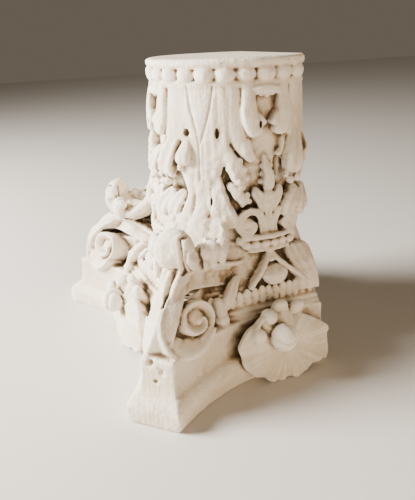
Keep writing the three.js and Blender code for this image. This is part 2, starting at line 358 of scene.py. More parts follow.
# %% Rows of lumps
def row_of_lumps(count, first, step, radius, height, squareness, half_size, wobble, seed):
    """A row as a shape: angles in degrees, sizes in millimetres."""
    holder = mesh_object("row", [(np.zeros((1, 3)), [])])
    rows = holder.modifiers.new("lumps", "NODES")
    rows.node_group = lump_tree
    values = {"Count": count, "First angle": math.radians(first), "Step": math.radians(step),
              "Radius": radius, "Height": height, "Squareness": squareness, "Half size": half_size,
              "Wobble": wobble, "Seed": seed, "Material": plaster}
    for item in lump_tree.interface.items_tree:
        if item.in_out == "INPUT":
            rows[item.identifier] = values[item.name]
    mesh = settle(holder).data
    points = np.array([v.co for v in mesh.vertices])
    faces = [tuple(p.vertices) for p in mesh.polygons]
    bpy.data.objects.remove(holder)
    return points, faces


BEADS = 26
GADROONS = 80
BAND_BEADS = 6
neck_beads = [row_of_lumps(BEADS, first=0, step=360 / BEADS, radius=51.9, height=190.6, squareness=2.0,
                           half_size=(4.6, 6.1, 5.5), wobble=0.07, seed=3)]
gadroons = [row_of_lumps(GADROONS, first=0, step=360 / GADROONS, radius=65.4, height=50.4, squareness=6.0,
                         half_size=(1.9, 3.0, 6.6), wobble=0.14, seed=5)]
band_beads = [row_of_lumps(BAND_BEADS, first=-16.2, step=6.5, radius=57, height=83.3, squareness=2.0,
                           half_size=(3.2, 3.2, 2.9), wobble=0.06, seed=8)]
print("lumps:", BEADS, "beads,", GADROONS, "gadroons")

# %% [markdown]
# Strokes of carving
#
# A carver's stroke is a ridge that follows a way over the bell: it swells, thins and rounds off at
# its end. The function takes the way as angle, height and lift, the half widths and half thicknesses
# along it, and how deep a vein runs down its middle. A pair is the stroke and its mirror image.

# %% Stroke and pair
WRAP_RADIUS = 50.0
MM_PER_DEGREE = math.radians(WRAP_RADIUS)
AROUND = 20


def round_ends(t, length, half_start, half_end):
    """Factor that rounds both ends of a stroke off."""
    first = np.clip(1 - t * length / max(half_start, 0.6), 0, 1)
    last = np.clip(1 - (1 - t) * length / max(half_end, 0.6), 0, 1)
    return np.sqrt(np.maximum(1 - np.maximum(first, last) ** 2, 0.004))


def stroke(way, wide, thick, side=1, vein=0.0, square=0.56, steps=26):
    t = 0.5 - 0.5 * np.cos(np.linspace(0, math.pi, steps))
    middle = curve([(side * a * MM_PER_DEGREE, z, lift) for a, z, lift in way], t)
    ahead = np.gradient(middle[:, :2], axis=0)
    length = np.linalg.norm(ahead, axis=1)
    ahead /= length[:, None]
    ends = round_ends(t, length.sum(), wide[0], wide[-1])
    half = curve(wide, t) * ends
    deep = curve(thick, t) * ends
    a = np.linspace(0, 2 * math.pi, AROUND, endpoint=False)
    u = np.sign(np.cos(a)) * np.abs(np.cos(a)) ** square
    v = np.sign(np.sin(a)) * np.abs(np.sin(a)) ** square
    v = np.where(v > 0, v * (1 - vein * np.exp(-(u / 0.22) ** 2)), v)
    sideways = half[:, None] * u
    z = middle[:, 1:2] + ahead[:, 0:1] * sideways
    angle = (middle[:, 0:1] - ahead[:, 1:2] * sideways) / WRAP_RADIUS
    r = bell_radius(z, angle) + middle[:, 2:3] + deep[:, None] * v
    return tube(np.stack([r * np.cos(angle), r * np.sin(angle), z], 2))


def pair(*way_wide_thick, **options):
    return [stroke(*way_wide_thick, side=s, **options) for s in (-1, 1)]


def ball(at, half, turn=0.0):
    """Round lump with half sizes outward, sideways and upward."""
    a = np.linspace(0, 2 * math.pi, AROUND, endpoint=False)
    rings = []
    for b in np.linspace(-0.49 * math.pi, 0.49 * math.pi, 12):
        rings.append(np.stack([half[0] * math.cos(b) * np.cos(a), half[1] * math.cos(b) * np.sin(a),
                               np.full_like(a, half[2] * math.sin(b))], 1))
    points, faces = tube(np.array(rings))
    return turned([(points, faces)], turn)[0][0] + np.array(at), faces


def bell_ball(angle, z, lift, half):
    """Round lump that sits on the bell."""
    a = math.radians(angle)
    r = bell_radius(z, a) + lift
    return ball((r * math.cos(a), r * math.sin(a), z), half, angle)


def bell_balls(rows):
    return [bell_ball(a, z, lift, (size, size, size)) for a, z, lift, size in rows]


print("stroke tools ready, one degree is", round(MM_PER_DEGREE, 3), "mm on the bell")

# %% [markdown]
# The ornament of a face
#
# Each face of the bell carries the same upright motif. From the neck down: two plain blades and an
# arch of two strands that end in curled lobes, a bud in its calyx, two scrolls on stems, a band with
# a row of beads, and a shield on the flare. The strokes come in pairs about the middle of the face.

# %% Blades and arch
blades = pair([(23.6, 188, 0.6), (23, 168, 1.4), (21, 155, 2.2), (15, 144.5, 2.8), (9, 139, 2.4)],
              [4.4, 4.6, 4.8, 4, 2.4], [3, 3.4, 3.6, 3.4, 2.8])
arch = pair([(12.6, 188, 1), (12.8, 177, 2.2), (12, 165, 3.4), (7.5, 153.4, 4)], [3.6, 4, 5.2, 4.4],
            [3, 4, 4.6, 4.2])
arch += pair([(8.6, 168, 2.8), (5, 163.4, 4), (2.4, 160.2, 4)], [1.8, 2.4, 2.2], [3.4, 3.8, 3.6])
arch += pair([(15.4, 153, 2), (15, 147, 3.4), (12.6, 141.5, 3.6), (9.4, 138.4, 2.8)], [3, 3.8, 3.2, 2],
             [3.4, 4, 3.8, 3])
arch.append(stroke([(-10, 180.4, 1.6), (0, 181.4, 2.4), (10, 180.4, 1.6)], [2.4, 2.8, 2.4], [4, 4.4, 4]))
arch += bell_balls([(0, 178.4, 3, 2), (-4, 179.2, 3, 2), (4, 179.2, 3, 2)])
print("blades and arch:", len(blades + arch), "strokes")

# %% Bud, calyx and scrolls
bud = [stroke([(-1.4, 141.6, 1), (-0.6, 134, 2.4), (0.6, 127, 3.2), (0.6, 118, 3.2)], [0.9, 2.4, 3.6, 3.6],
              [1.6, 3.4, 4.2, 3.8])]
for s in (-1, 1):
    bud += bell_balls([(0.4 + s * a, z, 2.2, 2) for a, z in [(2.6, 134), (3.6, 129), (4.4, 124)]])
calyx = pair([(1, 104, 2.4), (4, 110, 3.8), (8, 117, 4), (9.6, 121, 3)], [2.4, 3.4, 3, 1.1],
             [3, 3.8, 3.8, 2.4], vein=0.25)
calyx.append(stroke([(0, 103, 2.4), (0, 111, 4.2), (0, 119, 4.2)], [2.4, 4.6, 3], [3, 4, 3.4]))
stems = pair([(1.3, 88, 2.8), (1.2, 97, 3.4), (1.6, 106, 3.4)], [0.9, 0.9, 0.9], [3.6, 3.6, 3.6])
scrolls = pair([(4.6, 87, 3), (4.4, 97, 3.8), (7.5, 104.4, 4.2), (14, 105.8, 4.6), (20, 101.5, 5),
                (20, 94.6, 5), (14.5, 91.8, 5), (10.6, 96, 5.2), (13.6, 99.6, 5.4)],
               [2.2, 2.2, 2.3, 2.5, 2.5, 2.4, 2.1, 1.8, 1.6], [3.6, 4, 4.2, 4.4, 4.4, 4.4, 4.4, 4.4, 4.4],
               vein=0.22, steps=60)
scrolls += bell_balls([(s * 15, 97.6, 5.6, 4) for s in (-1, 1)])
print("bud and scrolls:", len(bud + calyx + stems + scrolls), "strokes")

# %% Band and shield
band = [stroke([(-19.5, 88.6, 4.4), (0, 88.6, 5.4), (19.5, 88.6, 4.4)], [1.7, 1.7, 1.7], [5, 5, 5]),
        stroke([(-18, 83.2, 1), (0, 83.2, 2), (18, 83.2, 1)], [3, 3, 3], [5, 5, 5]),
        stroke([(-15, 79.3, 2.4), (0, 79.3, 3.4), (15, 79.3, 2.4)], [0.9, 0.9, 0.9], [4, 4, 4])]
band += bell_balls([(s * 19.6, 86, 5, 3.3) for s in (-1, 1)])
shield = [stroke([(0, 81, 3), (0, 75, 3.2), (0, 71, 3.2)], [2.2, 2.2, 3], [4, 4, 4]),
          stroke([(0, 70, 3.6), (0, 64.5, 5.6), (0, 57, 4.6)], [3.6, 7.4, 6], [4, 5.4, 4.4], square=1)]
shield += pair([(1.4, 77, 3), (4.4, 72, 4.6), (9, 67, 5.8), (13.4, 62, 6), (16.4, 57.6, 5)],
               [1.1, 1.2, 1.3, 1.3, 1.1], [4, 4.2, 4.4, 4.4, 4.2])
face_relief = blades + arch + bud + calyx + stems + scrolls + band + band_beads + shield
sawn_ends = []
for first, lift in [(15, 3.4), (19, 5), (23, 6), (27, 5.6)]:
    fold = [(first - 1, 79, lift - 3), (first, 72, lift - 1), (first + 2, 62, lift),
            (first + 1, 49, lift - 1)]
    for side, degrees in [(1, 0), (-1, 180)]:
        sawn_ends += turned([stroke(fold, [1.6, 2.4, 2.8, 2.4], [4, 5, 5, 5], side=side)], degrees)
print("face ornament:", len(face_relief), "solids")

# %% [markdown]
# The corner leaves
#
# An acanthus leaf hangs from the neck over each corner. Its middle is a broad plate with a V of
# grooves, and its edge breaks into lobes that hang free, with lumps like berries at their ends. The
# two halves of the leaf differ, because the carver cut each lobe by hand.

# %% Leaf lobes on the bell
leaf = [stroke([(0, 189, 0.4), (-1, 165, 1.4), (-1, 140, 3), (0, 122, 4.6), (0, 108, 6)],
               [16, 16.5, 15, 9, 8], [3.4, 3.6, 4, 4.4, 4.6], square=0.5, steps=44),
        stroke([(-17, 189, 0.4), (-18, 165, 1.6), (-19, 150, 3), (-20, 136, 4)], [7, 8, 7, 4],
               [3.2, 3.6, 3.8, 3.4], square=0.6)]
leaf += pair([(14.2, 189, 0.8), (15, 165, 2), (15.6, 148, 3.2), (15, 136, 4)], [2.6, 3, 3.2, 2.4],
             [3, 3.2, 3.4, 3])
right_lobes = [
    stroke([(14.4, 153, 2), (18.5, 143, 3.6), (23.2, 134.6, 4.6), (26.4, 128, 4.2)], [2, 3.4, 4.2, 3],
           [3, 3.8, 4.2, 3.6]),
    stroke([(19, 135, 3), (23.6, 129, 4.6), (27.4, 123.6, 4.2)], [2, 3.2, 2.4], [3, 3.8, 3.4]),
    stroke([(18, 125, 3), (22.6, 119.4, 4.8), (27.4, 114, 5.2), (30, 111.4, 4.4)], [1.8, 2.8, 3.2, 2.4],
           [3, 3.8, 4, 3.4]),
    stroke([(9.6, 132, 3.6), (12, 121, 5.4), (15.4, 111, 7.4), (19, 103, 8.4), (19.6, 96.5, 7.6)],
           [2, 3, 3.6, 3.8, 2.4], [3, 4, 4.6, 4.6, 3.6], vein=0.15, steps=36),
    stroke([(5.4, 124, 5), (8.4, 115, 6.8), (10, 107.5, 8), (8.8, 101.5, 7.6)], [1.8, 2.8, 3.4, 2.2],
           [3, 4, 4.4, 3.4]),
]
right_lobes += bell_balls([(20.6, 141.4, 5.4, 2), (25, 138.8, 5.8, 2.3), (28, 133.8, 6.2, 2.3),
                           (29.8, 128.2, 5.8, 2.1), (27, 122.6, 5.8, 2.1), (22.4, 130.4, 7.4, 2.2),
                           (18.4, 134.4, 5.2, 2), (25, 126.4, 7.6, 2), (25, 120, 6.6, 1.8),
                           (29.6, 117, 6.4, 1.9), (31, 112.8, 5.8, 1.8), (27, 110.8, 6, 1.7)])
left_lobes = [
    stroke([(-9.8, 153, 3), (-10, 147, 5.6), (-11.4, 141, 6.8), (-13.6, 136.4, 6)], [1.6, 3.6, 4.6, 2.8],
           [3, 4.2, 4.8, 3.8]),
    stroke([(-19, 158, 2), (-22, 148, 4.6), (-25.6, 137, 7), (-27.4, 128, 7)], [4, 5.6, 6.8, 5.2],
           [3, 4.2, 4.8, 4.2], vein=0.3),
    stroke([(-5, 122, 4.6), (-6, 113, 7), (-8, 105.5, 8.4), (-9.6, 100.5, 7.6)], [1.8, 3.2, 3.6, 2.4],
           [3, 4.2, 4.6, 3.6]),
    stroke([(-13, 119, 4), (-16.4, 112.5, 6.8), (-19.6, 106, 8), (-21, 100.5, 7)], [2.6, 4.4, 4.4, 2.8],
           [3.4, 4.4, 4.6, 3.8], vein=0.25),
    stroke([(-22, 119.5, 4), (-27, 113, 6.8), (-31, 106.5, 8), (-32.6, 100, 7)], [2.8, 4.6, 4.8, 3],
           [3.4, 4.4, 4.6, 3.8], vein=0.25),
]
left_lobes += bell_balls([(-20.4, 130, 8.6, 2.4), (-24, 124.6, 9, 2.7), (-29.6, 123.8, 8.6, 2.5),
                          (-33.4, 128, 7.6, 2.4), (-13.4, 135, 8, 2.2), (-16, 140, 7.4, 2),
                          (-20.4, 101, 10, 2.4), (-27, 116, 8.4, 2.2)])
leaf += right_lobes + left_lobes
front_lobe = [stroke([(-36, 146, 2), (-39, 140, 5), (-42, 133, 6.4), (-43, 129, 5.6)], [3, 5, 6.4, 4.6],
                     [3, 4.2, 4.8, 4], vein=0.2)]
front_lobe += bell_balls([(-37.4, 129, 8, 2.4), (-42.4, 126.4, 8, 2.6), (-48, 128.4, 7.4, 2.4)])
print("leaf:", len(leaf), "solids")

# %% [markdown]
# The leaf tips
#
# Near the abacus each leaf leaves the bell, bends outwards and turns up again, so its end is a thick
# rolled lip with a shaded pocket behind it. These tongues follow ways in space, not on the bell.
# They are drawn along x and turned to their corners later.

# %% Tongue and leaf tip
def tongue(way, wide, thick, steps=30, square=0.8, vein=0.0):
    t = 0.5 - 0.5 * np.cos(np.linspace(0, math.pi, steps))
    middle = curve(way, t)
    ahead = np.gradient(middle, axis=0)
    length = np.linalg.norm(ahead, axis=1)
    ahead /= length[:, None]
    across = np.array([0.0, 1.0, 0.0])
    out = np.cross(ahead, across)
    out /= np.linalg.norm(out, axis=1)[:, None]
    ends = round_ends(t, length.sum(), wide[0], wide[-1])
    a = np.linspace(0, 2 * math.pi, AROUND, endpoint=False)
    u = np.sign(np.cos(a)) * np.abs(np.cos(a)) ** square
    v = np.sign(np.sin(a)) * np.abs(np.sin(a)) ** square
    v = np.where(v > 0, v * (1 - vein * np.exp(-(u / 0.22) ** 2)), v)
    w = (curve(wide, t) * ends)[:, None, None] * u[None, :, None]
    h = (curve(thick, t) * ends)[:, None, None] * v[None, :, None]
    return tube(middle[:, None, :] + w * across + h * out[:, None, :])


leaf_tip = [tongue([(54.5, 0, 124), (57.5, 0, 111), (62, 0, 100), (68.5, 0, 91), (76, 0, 84)],
                   [5, 7, 8, 9, 10], [3, 3.4, 3.6, 3.2, 2]),
            tongue([(50, 0, 112), (58, 0, 98), (68, 0, 88.5), (80, 0, 84), (90, 0, 85)],
                   [9, 12, 15, 15, 11], [5, 6, 6, 6, 5], steps=40),
            tongue([(76, -1, 85), (89, -1, 85), (98, -1, 93), (97, -1, 108)], [11, 13, 13, 10.5],
                   [6, 7.4, 7, 6], square=0.7, steps=40)]
for s in (-1, 1):
    leaf_tip += [
        tongue([(72, s * 12, 90), (83, s * 13, 88), (88.5, s * 13, 91.5), (88, s * 12.6, 97)],
               [7, 7, 6, 4.6], [4.5, 4.5, 4.2, 3], square=0.6),
        tongue([(55, s * 9, 106), (63, s * 12, 95), (73, s * 14.5, 88), (84, s * 15, 87)], [6, 8, 9, 8],
               [4, 4, 4, 4]),
        tongue([(84, s * 18, 97), (87.4, s * 18.6, 92), (87, s * 19, 82)], [3.4, 3.6, 1], [3, 4, 2]),
        tongue([(79, s * 21.6, 97), (83, s * 22.8, 91.5), (83, s * 23.2, 83)], [3, 3.2, 0.9], [3, 4, 2]),
        tongue([(70, s * 11, 92), (84, s * 13.6, 89), (89, s * 14, 80)], [4.4, 4, 0.9], [5, 5, 2]),
    ]
print("leaf tip:", len(leaf_tip), "tongues")

# %% [markdown]
# The volutes
#
# From the middle of each face a ribbon runs out to both corners and coils round an eye. It is a
# trough with one raised rim on its outer edge. The band, its foot and the coil all follow spirals in
# one leaning plane, worked out from a first angle, a step and a list of radii. The coil is rounded
# like a snail shell.

# %% Ribbon and volute
EYE = (83.0, 63.0, 53.5)
EYE_TURN = math.radians(21)
EYE_LEAN = math.radians(20)
STEM = [(53, 3, 77), (54, 9, 72.4), (56.5, 15, 68.6), (59, 25, 68), (62, 36, 70), (66, 46, 72.6)]
BAND_RADII = [26.4, 23.6, 22, 21.4, 21.5, 22.2, 22, 20.2, 15.6, 12.4]
BAND_WIDE = [1.6, 4, 6, 7, 7.3, 7.3, 6.6, 6.5, 6, 5.7, 6.1, 7.2, 7.8, 8, 5.6, 3]
BAND_THICK = [4, 4, 4, 5, 6, 6, 6.5, 6.5, 6.5, 6.5, 6.5, 6.5, 6.5, 6.5, 6.5, 6.5]
BAND_SUNK = 5.0
BAND_TURN = (122, -22)
FOOT_TURN = (-14, -24)
COIL_TURN = (-74, -35)
GAP_TURN = (124, -22)
FOOT_CLIMB = 0.5
COIL_CLIMB = 0.2
GAP_SUNK = 6.0
BAR = [(-1, -1), (-1, 1), (1, 1), (1, -1)]
GAP_RADII = [16, 15.6, 15.2, 15, 14.8, 14, 12.6]
FOOT_RADII = [21, 20, 16.4, 13, 11, 10]
COIL_RADII = [11.6, 9, 8.2, 8.8, 9.3, 9.5, 10.2, 11.8, 11, 7.8, 5.2, 4, 3.2, 2.4, 1.4]
CHANNEL = [(-1, -1), (-1, 0.8), (-0.9, 1), (-0.74, 0.98), (-0.56, 0.6), (-0.3, 0.12), (0.2, -0.1),
           (0.7, -0.06), (0.94, 0.04), (1, -0.1), (1, -1)]
SNAIL = [(-1, -1), (-1, 0.6), (-0.8, 0.96), (-0.5, 1), (0, 0.86), (0.5, 0.62), (0.9, 0.4), (1, 0.2),
         (1, -1)]


def ribbon(points, wide, thick, normal, section, steps):
    t = np.linspace(0, 1, steps)
    middle = curve(points, t)
    ahead = np.gradient(middle, axis=0)
    across = np.cross(normal, ahead)
    across /= np.linalg.norm(across, axis=1)[:, None]
    a, b = np.array(section, float).T
    w = curve(wide, t)[:, None, None] * a[None, :, None]
    h = curve(thick, t)[:, None, None] * b[None, :, None]
    return tube(middle[:, None, :] + w * across[:, None, :] + h * normal)


def volute_axes(side):
    """Middle of a volute and its directions outward to the corner, upward and off its face."""
    c, s = math.cos(EYE_TURN), math.sin(EYE_TURN)
    normal = np.array([c * math.cos(EYE_LEAN), -side * s * math.cos(EYE_LEAN), math.sin(EYE_LEAN)])
    outward = np.array([s, side * c, 0])
    upward = -side * np.cross(outward, normal)
    return np.array([EYE[0], side * EYE[1], EYE[2]]), outward, upward, normal


def spiral(side, first, step, radii, low, climb=0.0):
    """Points round the eye of a volute, each a step in degrees after the one before."""
    eye, outward, upward, normal = volute_axes(side)
    a = np.radians(first + step * np.arange(len(radii)))
    return [eye + outward * r * math.cos(t) + upward * r * math.sin(t) + normal * (low + climb * i)
            for i, (r, t) in enumerate(zip(radii, a))]


def volute(side):
    eye, outward, _, normal = volute_axes(side)
    band = [np.array((x, side * y, z)) - normal * BAND_SUNK for x, y, z in STEM]
    band += spiral(side, *BAND_TURN, BAND_RADII, -BAND_SUNK)
    foot = spiral(side, *FOOT_TURN, FOOT_RADII, -BAND_SUNK, FOOT_CLIMB)
    coil = spiral(side, *COIL_TURN, COIL_RADII, -BAND_SUNK, COIL_CLIMB)
    channel = CHANNEL if side < 0 else [(-a, b) for a, b in CHANNEL]
    snail = SNAIL if side < 0 else [(-a, b) for a, b in SNAIL]
    return [
        ribbon(band, BAND_WIDE, BAND_THICK, normal, channel, 100),
        ribbon(foot, [4, 6.6, 6.4, 4, 3, 2.4], [4, 6, 7, 7.4, 7.6, 7.6], normal, snail, 40),
        ribbon(coil, [2.8, 3, 3, 3.6, 2.6, 1.4], [7.5, 8, 8, 8, 7, 6], normal, snail, 90),
        ball(eye - normal * 5 + outward * 1.5, (7, 8, 8)),
        ball(eye + normal * 0.5 + outward, (3, 2.4, 2.4)),
    ]


def volute_gap(side):
    """Dark crescent between the band and the coil."""
    way = spiral(side, *GAP_TURN, GAP_RADII, -GAP_SUNK)
    return ribbon(way, [0.6, 1.5, 1.6, 1.4, 1.1, 0.5], [8, 8], volute_axes(side)[3], BAR, 40)


volutes = volute(-1) + volute(1)
print("volutes:", len(volutes), "solids on a face")

# %% Core between two volutes
CORE_HALF = [(45, 9), (88, 6), (112, 3.4), (122, 1.5)]
CORE_LOW = 34.0
CORE_HIGH = 62.0


def corner_core():
    half = np.array(CORE_HALF)
    flat = np.concatenate([half, half[::-1] * (1, -1)])
    return tube(np.array([np.column_stack([flat, np.full(len(flat), z)]) for z in (CORE_LOW, CORE_HIGH)]))


core = [corner_core(), tongue([(92, 0, 80), (108, 0, 74), (118.5, 0, 60), (121, 0, 44)], [8, 6, 4.6, 4],
                              [6, 5, 4, 5])]
side_leaves = []
for s in (-1, 1):
    side_leaves += [tongue([(60, s * 26, 66), (64, s * 31, 61), (68, s * 36, 54), (69, s * 39, 48)],
                           [2, 4, 4.4, 2.4], [4, 5, 5, 4], vein=0.3),
                    tongue([(66, s * 43, 56), (69, s * 42, 48), (70, s * 42, 43)], [3, 4, 4], [4, 4.4, 4.4]),
                    ball((71, s * 42, 42.5), (5.4, 5, 4.6))]
print("core:", CORE_HIGH - CORE_LOW, "mm high")

# %% [markdown]
# The flowers
#
# An open flower sits on the middle of each abacus side. Its petals are one wavy bowl with fine
# striations that fan out from the middle, where a big and a small ball stand. The bowl is a stack of
# rings in polar steps, so lobes and striations are plain formulas of the angle.

# %% Flower
FLOWER = (84.0, -4.0, 25.0)
PETAL_REACH = [24.5, 27, 34, 33, 24, 18, 20, 23, 31, 34.5, 31, 27, 24.5]
PETAL_RISE = [9, 8, 3, 2, 0, -2, -2, 1, 4, 5, 7, 8, 9]
PETAL_BACK = [(0.99, 3.0), (0.85, 7.0), (0.5, 14.0), (0.05, 16.0)]
PETAL_STEPS = 300
STRIATIONS = 38
BOWL_FLOOR = 3.0
PETAL_SWELL = 2.6
WAVE_REACH = 0.022
WAVE_RISE = 0.7
STRIPE_RISE = 0.3


def flower():
    x, y, z = FLOWER
    a = np.linspace(-0.5 * math.pi, 1.5 * math.pi, PETAL_STEPS, endpoint=False)
    around = np.linspace(0, 1, PETAL_STEPS, endpoint=False)
    wave = np.sin(9 * a + 0.6) + 0.6 * np.sin(17 * a)
    reach = curve(PETAL_REACH, around) * (1 + WAVE_REACH * wave)
    edge_rise = curve(PETAL_RISE, around)
    stripe = np.cos(STRIATIONS * a + 2.6 * np.sin(5 * a)) * (0.6 - 0.4 * np.sin(a))
    rings = []
    for spread in np.linspace(0.05, 1, 22):
        bowl = BOWL_FLOOR + (edge_rise - BOWL_FLOOR) * spread**1.2
        swell = PETAL_SWELL * math.sin(math.pi * spread**0.9) + WAVE_RISE * wave * spread**2
        rise = bowl + swell + STRIPE_RISE * stripe * min(1, 1.6 * spread)
        rings.append(np.stack([x + rise, y + spread * reach * np.cos(a), z + spread * reach * np.sin(a)], 1))
    for spread, fall in PETAL_BACK:
        rings.append(np.stack([x + edge_rise * spread - fall, y + spread * reach * np.cos(a),
                               z + spread * reach * np.sin(a)], 1))
    return tube(np.array(rings))


def crest(y, z, half, lean):
    """Small upright petal behind the balls."""
    way = [(72, y, z - 12), (78, y, z - 4), (81, y + lean, z + 4)]
    return tongue(way, [half, half, 0.8 * half], [4, 4, 3])


flowers = [flower(), ball((94, -9.5, 33), (8.6, 9, 9)), ball((90, -25.5, 36), (5, 4.8, 4.8)),
           ball((84, -15, 44), (6, 5.4, 5)), crest(-4, 48, 6, -1), crest(7, 45, 5.4, 2),
           tongue([(84, -34, 27), (87, -29, 37), (84, -19, 45)], [2, 2.2, 2], [4, 4, 4])]
print("flower:", len(flowers[0][0]), "points in the bowl")

# %% [markdown]
# Grooves and holes
#
# Some marks go deep into the surface: the holes beside the V of each leaf, the pockets behind the leaf
# tips, chips on the horns, and the dark crescent inside each volute. They are solids too, made by the
# same strokes, and are cut away after the skin is whole.

# %% Cutters
leaf_cuts = [
    bell_ball(11.2, 156.5, 6, (4, 1.2, 3.4)),
    bell_ball(-9.7, 156.6, 7, (5, 2.3, 2.8)),
    stroke([(19.6, 118, 11), (25.6, 106, 12)], [0.8, 0.8], [5, 5]),
    stroke([(7.9, 116, 11), (7.9, 112.4, 11)], [0.45, 0.45], [3, 3]),
    bell_ball(13.6, 97, 10, (6, 1.6, 3)),
]
tip_cuts = [
    ball((101, 7.4, 106), (5, 2, 3)),
    ball((73, 14, 102), (10, 9.5, 8)),
    ball((73, -14, 102), (10, 9.5, 8)),
    ball((136.7, -2, 52), (4, 2.6, 4)),
    ball((118, 1, 31), (3, 3.4, 4)),
    ball((134.4, -4, 38.4), (3.2, 2.6, 3.2)),
    ball((134.2, 3, 33), (1.8, 2.2, 2.8)),
    ball((134, -1, 26.5), (1.3, 1.8, 1.5)),
]
face_cuts = [bell_ball(s * 6.4, 176.6, 5, (4, 1.6, 1.9)) for s in (-1, 1)]
face_cuts.append(bell_ball(-6.2, 161, 7.6, (4, 1.1, 2.2)))
face_cuts += [volute_gap(-1), volute_gap(1)]
print("cutters:", len(leaf_cuts), "per leaf,", len(face_cuts), "per face")

# %% [markdown]
# One skin
#
# All solids are joined and remeshed with small voxels, which melts them together and leaves the soft
# inner corners of cast plaster. Then the cutters are taken away, and a box cuts the flat back and the
# standing plane.

# %% Joining the solids
BACK_CUT = 30.5
VOXEL = 0.75
TRIANGLES = 190000
FACES_AT = (0, -90, 180)
LEAVES_AT = (-135, -45, 45, 135)
CORNERS_AT = (-45, -135)

solids = slab + bell + neck_beads + gadroons + sawn_ends + turned(front_lobe, -45)
for degrees in FACES_AT:
    solids += turned(face_relief + volutes + flowers + side_leaves, degrees)
for degrees in LEAVES_AT:
    solids += turned(leaf, degrees)
for degrees in CORNERS_AT:
    solids += turned(leaf_tip + core, degrees)
cast = mesh_object("capital_cast", solids)
skin = cast.modifiers.new("skin", "REMESH")
skin.mode = "VOXEL"
skin.voxel_size = VOXEL * MM
soften = cast.modifiers.new("soften", "SMOOTH")
soften.factor = 0.5
soften.iterations = 1
settle(cast)
print("skin:", len(cast.data.polygons), "faces")

# %% Cutting the marks and the flat faces
CUT_VOXEL = 0.4
ROOM = 200.0


def block(low, high):
    """Plain box as a shape, from its lowest and highest corners."""
    x, y, z = np.array([low, high]).T
    corners = [(x[0], y[0]), (x[1], y[0]), (x[1], y[1]), (x[0], y[1])]
    return tube(np.array([[(a, b, c) for a, b in corners] for c in z]))


def outward(piece):
    """Points all faces of a closed mesh outwards."""
    shell = bmesh.new()
    shell.from_mesh(piece.data)
    bmesh.ops.recalc_face_normals(shell, faces=shell.faces)
    shell.to_mesh(piece.data)
    shell.free()
    return piece


def carve(piece, tool, operation):
    """Cuts a piece with a tool, which is then thrown away."""
    cut = piece.modifiers.new("carve", "BOOLEAN")
    cut.object = tool
    cut.operation = operation
    cut.solver = "MANIFOLD"
    settle(piece)
    bpy.data.objects.remove(tool)


marks = []
for degrees in FACES_AT:
    marks += turned(face_cuts, degrees)
for degrees in LEAVES_AT:
    marks += turned(leaf_cuts, degrees)
for degrees in CORNERS_AT:
    marks += turned(tip_cuts, degrees)
chisel = mesh_object("chisel", marks)
melt = chisel.modifiers.new("melt", "REMESH")
melt.mode = "VOXEL"
melt.voxel_size = CUT_VOXEL * MM
carve(cast, settle(chisel), "DIFFERENCE")
saw = outward(mesh_object("saw", [block((-ROOM, -ROOM, 0), (ROOM, BACK_CUT, HEIGHT))]))
carve(cast, saw, "INTERSECT")
print("cast:", len(cast.data.vertices), "points,", len(cast.data.polygons), "faces")

# %% [markdown]
# Engraved lines
#
# Thin lines are too fine for voxels, so they are pressed into the finished skin. Each line is a few
# given points on a leaf, as angle from its middle and height, with a width and a depth. Every point
# of the mesh near a line sinks along its normal, most in the middle of the line. The same rule serves
# the leaf tips and the flowers, where the points are a distance aside and a height.

# %% Engraving
FLAT_MARGIN = 0.2
LEAF_SIDE = 40.0
LEAF_LOW = 96.0
LEAF_OUT = 66.0
TIP_FROM = 78.0
TIP_LOW = 60.0
TIP_HIGH = 112.0
PETALS_FROM = 88.0
PETALS_SIDE = 40.0
PETALS_TOP = 45.0
LEAF_LINES = [
    ([(-9.4, 184), (-6.8, 172), (-3.4, 160), (-0.9, 150), (-0.4, 138), (0, 126)], 0.6, 1.0),
    ([(9.2, 184), (7, 172), (3.6, 160), (0.4, 150.5)], 0.6, 1.0),
    ([(2.4, 149), (2.6, 137), (3, 126)], 0.7, 0.35),
    ([(-4, 144), (-4.4, 131), (-4.8, 122)], 1.3, 0.35),
    ([(7, 150), (7.4, 136), (8, 124)], 1.5, 0.4),
    ([(7.2, 122), (7.9, 114), (6, 105)], 0.8, 1.0),
    ([(-3, 122), (-3.4, 113), (-4.4, 104)], 0.8, 1.0),
    ([(-14.6, 151), (-17, 143), (-18, 134), (-16, 128)], 1.2, 2.2),
    ([(-30, 152), (-34.4, 141), (-36, 128)], 1.4, 2.6),
    ([(-14, 182), (-15, 168), (-16, 156)], 3.0, 0.6),
    ([(13, 182), (13.4, 166), (13.6, 150)], 2.0, 0.5),
]
TIP_LINES = [
    ([(0, 82), (0, 76), (0, 70)], 1.8, 3.0),
    ([(5.4, 82), (6.4, 94), (5, 104)], 1.0, 2.0),
    ([(8.4, 82), (8, 90), (9, 97)], 0.8, 1.4),
    ([(12.6, 80), (12.8, 88), (12, 95)], 0.8, 1.4),
]
FLOWER_LINES = [
    ([(-7, 42), (-4, 37), (-4, 31), (-7, 26)], 0.9, 1.3),
    ([(-17, 34.6), (-11, 32), (-5, 33.6)], 0.8, 1.0),
]


def sink(spots, lines):
    """How deep each flat spot lies in a list of lines."""
    deep = np.zeros(len(spots))
    for points, width, depth in lines:
        chain = curve(points, np.linspace(0, 1, 14))
        for a, b in zip(chain[:-1], chain[1:]):
            t = np.clip((spots - a) @ (b - a) / ((b - a) @ (b - a)), 0, 1)
            gap = np.linalg.norm(spots - a - t[:, None] * (b - a), axis=1)
            deep = np.maximum(deep, depth * np.exp(-((gap / width) ** 2)))
    return deep


def off_flats(points):
    """True for points that don't lie on the sawn back, the underside or the top."""
    y, z = points[:, 1], points[:, 2]
    return (y < BACK_CUT - FLAT_MARGIN) & (z > FLAT_MARGIN) & (z < HEIGHT - FLAT_MARGIN)


